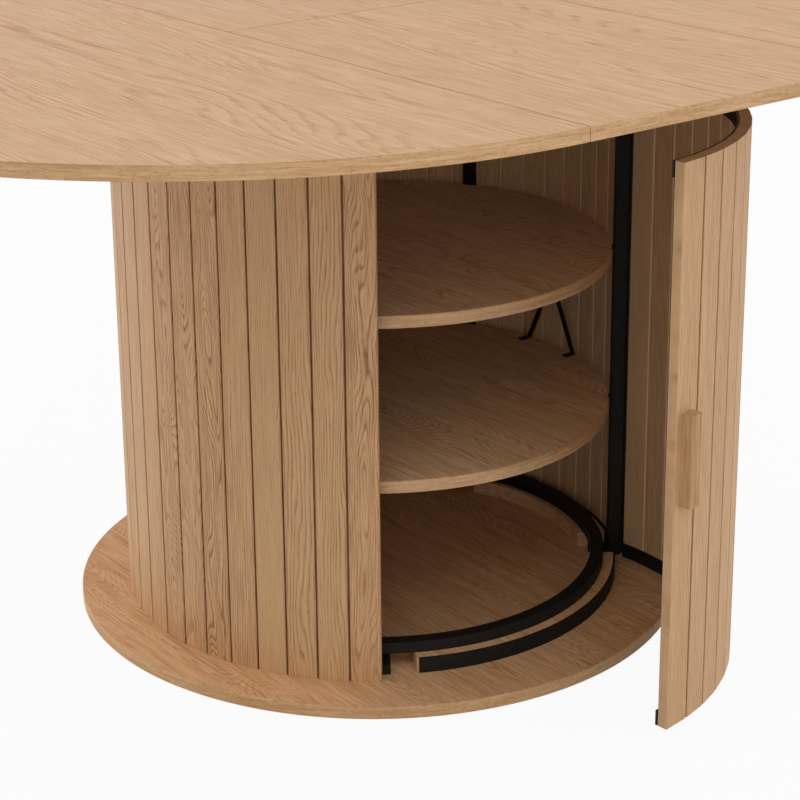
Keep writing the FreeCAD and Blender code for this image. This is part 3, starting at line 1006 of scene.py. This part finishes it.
@dataclass
class BaseBoard(SubAssembly):
    """Round base board, its edge band and pads, and the oak blocks on it."""

    def build(self) -> None:
        """Dresses the base."""
        board = OakFinish(
            "oak_base",
            Grain.ALONG_Y,
            BASE_OAK,
            seed=23.9,
            ring_spacing=0.0085,
            figure=80.0,
            stretch=0.24,
        )
        self.dress(board.build(), "base_board")
        self.dress(RimFinish("oak_base_edge").build(), "base_edge_band")
        block = OakFinish(
            "oak_block", Grain.ALONG_Y, BASE_OAK, seed=31.3, figure=8.0, contrast=0.35
        )
        self.dress(
            block.build(),
            "ring_block_doorway",
            "ring_block_right_front",
            "ring_block_right_rear",
            "ring_block_left_rear",
            "ring_block_left_front",
        )
        self.dress(Felt().build(), "floor_pads")


@dataclass
class Column(SubAssembly):
    """Fixed slats of the wall."""

    first_full: float = math.radians(HINGE_LINE_ANGLE + HINGE_TRIM_ANGLE + CLOSING_SLAT_ANGLE)

    def build(self) -> None:
        """Dresses the slats."""
        oak = SlatFinish(
            "oak_wall_slats",
            Grain.UPRIGHT,
            start=self.first_full,
            arched=(31.0, 33.0, 38.0),
            ends=self.heights("wall_slats_left"),
            # Painted light: the wall's inner faces are lighter and cooler.
            inner_light_tint=(1.16, 1.30, 1.50),
        )
        self.dress(oak.build(), "wall_slats_right", "wall_slats_rear", "wall_slats_left")


@dataclass
class Door(SubAssembly):
    """Curved slatted door with its handle."""

    hinge_radius: float = 0.3186
    hinge_angle: float = math.radians(HINGE_LINE_ANGLE)
    opening: float = math.radians(DOOR_OPEN_ANGLE)
    free_edge: float = math.radians(CATCH_LINE_ANGLE + CATCH_TRIM_ANGLE)
    pitch: float = math.radians((DOORWAY_ANGLE - CATCH_TRIM_ANGLE - HINGE_TRIM_ANGLE) / DOOR_SLATS)

    def centre(self) -> tuple[float, float]:
        """Gives the middle of the door's own circle in the open pose.

        Returns:
            The place in plan, in metres.
        """
        axis = Vector((math.cos(self.hinge_angle), math.sin(self.hinge_angle))) * self.hinge_radius
        cosine, sine = math.cos(self.opening), math.sin(self.opening)
        return (
            axis.x - cosine * axis.x + sine * axis.y,
            axis.y - sine * axis.x - cosine * axis.y,
        )

    def build(self) -> None:
        """Dresses the slats and the handle."""
        oak = SlatFinish(
            "oak_door_slats",
            Grain.UPRIGHT,
            centre=self.centre(),
            start=self.free_edge + self.opening,
            pitch=self.pitch,
            ends=self.heights("door_slats"),
            free_start=True,
            # Painted shade: the door's inner faces are a little darker and cooler.
            inner_light_tint=(0.92, 0.97, 1.04),
        )
        self.dress(oak.build(), "door_slats")
        handle = OakFinish("oak_handle", Grain.UPRIGHT, HANDLE_OAK, seed=41.7, figure=8.0)
        self.dress(handle.build(), "door_handle")


@dataclass
class Shelves(SubAssembly):
    """Two round shelves in the column."""

    def build(self) -> None:
        """Dresses the shelves."""
        # The two shelves get lit and shaded copies of one oak, as painted light and shade.
        for name, tones, seed in (
            ("lower_shelf", LIT_LOWER_SHELF_OAK, 51.3),
            ("upper_shelf", SHADED_UPPER_SHELF_OAK, 57.9),
        ):
            board = OakFinish(f"oak_{name}", Grain.ALONG_Y, tones, seed, figure=70.0, stretch=0.22)
            self.dress(board.build(), f"{name}_board")
        band = RimFinish("oak_shelf_edge", SHELF_RIM_OAK).build()
        self.dress(band, "lower_shelf_edge_band", "upper_shelf_edge_band")


@dataclass
class HingeCollar:
    """Turned collar on the base board, under the lowest knuckle of the door hinge."""

    place: tuple[float, float] = (0.266897, -0.173988)
    bottom: float = 0.0180
    top: float = 0.0219
    radius: float = 0.0037
    bore: float = 0.0021
    chamfer: float = 0.0003
    steps: int = 48

    def section(self) -> list[tuple[float, float]]:
        """Draws the turned section, with a groove round its middle.

        Returns:
            Pairs of a radius and a height, in metres, round the section.
        """
        middle = 0.5 * (self.bottom + self.top)
        return [
            (self.bore, self.bottom),
            (self.radius - self.chamfer, self.bottom),
            (self.radius, self.bottom + self.chamfer),
            (self.radius, middle - self.chamfer),
            (self.radius - self.chamfer, middle),
            (self.radius, middle + self.chamfer),
            (self.radius, self.top - self.chamfer),
            (self.radius - self.chamfer, self.top),
            (self.bore, self.top),
        ]

    def build(self, finish: bpy.types.Material) -> None:
        """Turns the section into a mesh, dresses it and fixes it to the frame.

        Args:
            finish: the material.
        """
        shape = bmesh.new()
        x, y = self.place
        rings = []
        for step in range(self.steps):
            angle = math.tau * step / self.steps
            cosine, sine = math.cos(angle), math.sin(angle)
            rings.append(
                [
                    shape.verts.new((x + reach * cosine, y + reach * sine, height))
                    for reach, height in self.section()
                ]
            )
        for near, far in zip(rings, rings[1:] + rings[:1]):
            for here, after in zip(range(len(near)), [*range(1, len(near)), 0]):
                shape.faces.new((near[here], far[here], far[after], near[after]))
        bmesh.ops.recalc_face_normals(shape, faces=shape.faces)
        mesh = bpy.data.meshes.new("hinge_collar")
        shape.to_mesh(mesh)
        shape.free()
        mesh.materials.append(finish)
        collar = bpy.data.objects.new("hinge_collar", mesh)
        bpy.context.scene.collection.objects.link(collar)
        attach(collar, "frame")
        log.info("hinge_collar made")


@dataclass
class SteelWork(SubAssembly):
    """Black steel frame, bands and hinges, and the bare metal parts."""

    def build(self) -> None:
        """Dresses the steel."""
        black = CoatedSteel().build()
        self.dress(
            black,
            "post_hinge",
            "post_right",
            "post_rear",
            "post_left",
            "post_catch",
            "post_feet",
            "lower_ring",
            "top_ring",
            "doorway_strip",
            "door_stop",
            "wall_band_lower",
            "wall_band_upper",
            "door_band_lower",
            "door_band_upper",
            "shelf_brace_bars",
            "shelf_brace_rivets",
            "hinge_wall_leaves",
            "hinge_door_leaves",
            "catch_magnet",
            "shelf_pins",
        )
        HingeCollar().build(black)
        zinc = BareMetal("zinc_plate").build()
        self.dress(
            zinc,
            "hinge_pins",
            "top_ring_screws",
            "slide_channels",
            "near_half_slide_bars",
            "far_half_slide_bars",
        )


@dataclass
class ExtensionGear(SubAssembly):
    """Beech rails and battens under the top."""

    def build(self) -> None:
        """Dresses the rails, spreaders, battens and pads."""
        along = OakFinish(
            "beech_rails", Grain.ALONG_X, BEECH, seed=61.1, figure=6.0, contrast=0.2
        )
        self.dress(
            along.build(),
            "fixed_rail_front",
            "fixed_rail_back",
            "near_half_battens",
            "far_half_battens",
        )
        spreader = OakFinish(
            "beech_spreaders", Grain.ALONG_Y, BEECH, seed=67.7, figure=6.0, contrast=0.2
        )
        self.dress(spreader.build(), "rail_spreaders")
        self.dress(Nylon().build(), "leaf_pads")


# ---- studio ------------------------------------------------------------------


@dataclass
class Camera:
    """Camera in front of the open door."""

    place: tuple[float, float, float] = (-1.5508, -2.0186, 1.2125)
    heading: float = math.radians(52.56)
    dip: float = 0.3083
    roll: float = -0.0127
    lens: float = 97.05
    sensor: float = 36.0
    shift: tuple[float, float] = (0.035, -0.15)
    clip: tuple[float, float] = (0.05, 100.0)

    def build(self) -> None:
        """Makes the camera and hands it to the scene."""
        data = bpy.data.cameras.new("camera")
        data.sensor_width = self.sensor
        data.lens = self.lens
        data.shift_x, data.shift_y = self.shift
        data.clip_start, data.clip_end = self.clip
        camera = bpy.data.objects.new("camera", data)
        bpy.context.scene.collection.objects.link(camera)
        ahead = Vector(
            (
                math.cos(self.heading) * math.cos(self.dip),
                math.sin(self.heading) * math.cos(self.dip),
                -math.sin(self.dip),
            )
        )
        level = Vector((math.sin(self.heading), -math.cos(self.heading), 0.0))
        upright = level.cross(ahead)
        right = math.cos(self.roll) * level + math.sin(self.roll) * upright
        up = right.cross(ahead)
        turn = Matrix((right, up, -ahead)).transposed().to_4x4()
        camera.matrix_world = Matrix.Translation(self.place) @ turn
        bpy.context.scene.camera = camera
        log.info("camera made")


@dataclass
class Softbox:
    """Area lamp that points at the table."""

    name: str
    place: tuple[float, float, float]
    power: float
    size: float = 2.4
    target: tuple[float, float, float] = (0.0, 0.0, 0.35)

    def build(self) -> None:
        """Makes the lamp."""
        data = bpy.data.lights.new(self.name, "AREA")
        data.shape = "SQUARE"
        data.size = self.size
        data.energy = self.power
        lamp = bpy.data.objects.new(self.name, data)
        bpy.context.scene.collection.objects.link(lamp)
        lamp.location = self.place
        lamp.visible_camera = False
        aim = Vector(self.target) - Vector(self.place)
        lamp.rotation_euler = aim.to_track_quat("-Z", "Y").to_euler()
        log.info("lamp %s made", self.name)


@dataclass
class Studio:
    """Pale floor, pale surroundings and soft light."""

    floor_half: float = 9.0
    floor_white: float = 0.80
    world_level: float = 0.215
    shadow_share: float = 0.06
    shadow_fade: Stops = ((0.14, 1.0), (0.32, 0.0))
    backdrop_level: float = 0.982
    lamps: tuple[Softbox, ...] = (
        Softbox("softbox_left_rear", (-2.05, 3.56, 1.22), power=76.0),
        Softbox("softbox_left_front", (-3.56, -2.05, 1.22), power=6.0),
        Softbox("softbox_left_high", (-2.70, -1.56, 3.16), power=27.0),
        Softbox("softbox_front", (-2.05, -3.56, 1.22), power=18.5),
        Softbox("softbox_front_high", (0.0, -3.12, 3.16), power=26.0),
        Softbox("softbox_right", (3.12, -2.81, 1.22), power=35.0),
        Softbox("softbox_right_high", (3.64, 0.0, 2.45), power=36.0),
        Softbox("softbox_back", (0.0, 3.22, 3.05), power=27.0),
    )

    def build(self) -> None:
        """Makes the floor, the world and the lamps."""
        self.make_floor()
        self.make_world()
        for lamp in self.lamps:
            lamp.build()
        bpy.context.scene.view_settings.view_transform = "Standard"

    def seen_rays(self, graph: Graph) -> Socket:
        """Tells the rays that show the surroundings from those that light.

        Args:
            graph: the graph to add to.

        Returns:
            1 for camera, glossy and transmission rays.
        """
        path = graph.node("ShaderNodeLightPath")
        seen = graph.math("MAXIMUM", path.outputs["Is Camera Ray"], path.outputs["Is Glossy Ray"])
        return graph.math("MAXIMUM", seen, path.outputs["Is Transmission Ray"])

    def make_floor(self) -> None:
        """Makes the floor: a soft shadow near the table, the backdrop's white farther out."""
        mesh = bpy.data.meshes.new("floor")
        shape = bmesh.new()
        bmesh.ops.create_grid(shape, x_segments=1, y_segments=1, size=self.floor_half)
        shape.to_mesh(mesh)
        shape.free()
        floor = bpy.data.objects.new("floor", mesh)
        bpy.context.scene.collection.objects.link(floor)
        mesh.materials.append(self.floor_finish())
        log.info("floor made")

    def floor_finish(self) -> bpy.types.Material:
        """Makes the floor's material.

        Returns:
            The material.
        """
        material = bpy.data.materials.new("pale_floor")
        graph = Graph(material)
        matt = graph.node("ShaderNodeBsdfDiffuse")
        graph.feed(matt.inputs["Color"], (self.floor_white,) * 3 + (1.0,))
        glow = graph.node("ShaderNodeEmission")
        blend = graph.node("ShaderNodeMixShader")
        x, y, _ = graph.split(graph.position())
        away = graph.math("DIVIDE", graph.length(x, y), self.floor_half)
        near = graph.curve(away, self.shadow_fade)
        level = graph.math("MULTIPLY_ADD", near, 1.0 - self.backdrop_level, self.backdrop_level)
        graph.feed(glow.inputs["Strength"], level)
        shown = graph.math("MULTIPLY_ADD", near, -self.shadow_share, 1.0)
        share = graph.math("MULTIPLY", self.seen_rays(graph), shown)
        graph.feed(blend.inputs[0], share)
        graph.feed(blend.inputs[1], matt.outputs[0])
        graph.feed(blend.inputs[2], glow.outputs[0])
        output = graph.node("ShaderNodeOutputMaterial")
        graph.feed(output.inputs["Surface"], blend.outputs[0])
        return material

    def make_world(self) -> None:
        """Makes the surroundings: white to the camera, softer as light."""
        world = bpy.data.worlds.new("surroundings")
        bpy.context.scene.world = world
        graph = Graph(world)
        light = graph.node("ShaderNodeBackground")
        graph.feed(light.inputs["Color"], (1.0, 1.0, 1.0, 1.0))
        graph.feed(light.inputs["Strength"], self.world_level)
        white = graph.node("ShaderNodeBackground")
        graph.feed(white.inputs["Color"], (1.0, 1.0, 1.0, 1.0))
        graph.feed(white.inputs["Strength"], self.backdrop_level)
        blend = graph.node("ShaderNodeMixShader")
        graph.feed(blend.inputs[0], self.seen_rays(graph))
        graph.feed(blend.inputs[1], light.outputs[0])
        graph.feed(blend.inputs[2], white.outputs[0])
        output = graph.node("ShaderNodeOutputWorld")
        graph.feed(output.inputs["Surface"], blend.outputs[0])
        log.info("surroundings made")


def main() -> None:
    """Builds the looks of the table, group by group."""
    logging.basicConfig(level=logging.INFO, format="%(message)s")
    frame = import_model()
    nodes = frame["nodes"]
    Camera().build()
    for group in (TableTop, BaseBoard, Column, Door, Shelves, SteelWork, ExtensionGear):
        group(nodes).build()
        log.info("%s done", group.__name__)
    Studio().build()


if __name__ == "__main__":
    main()
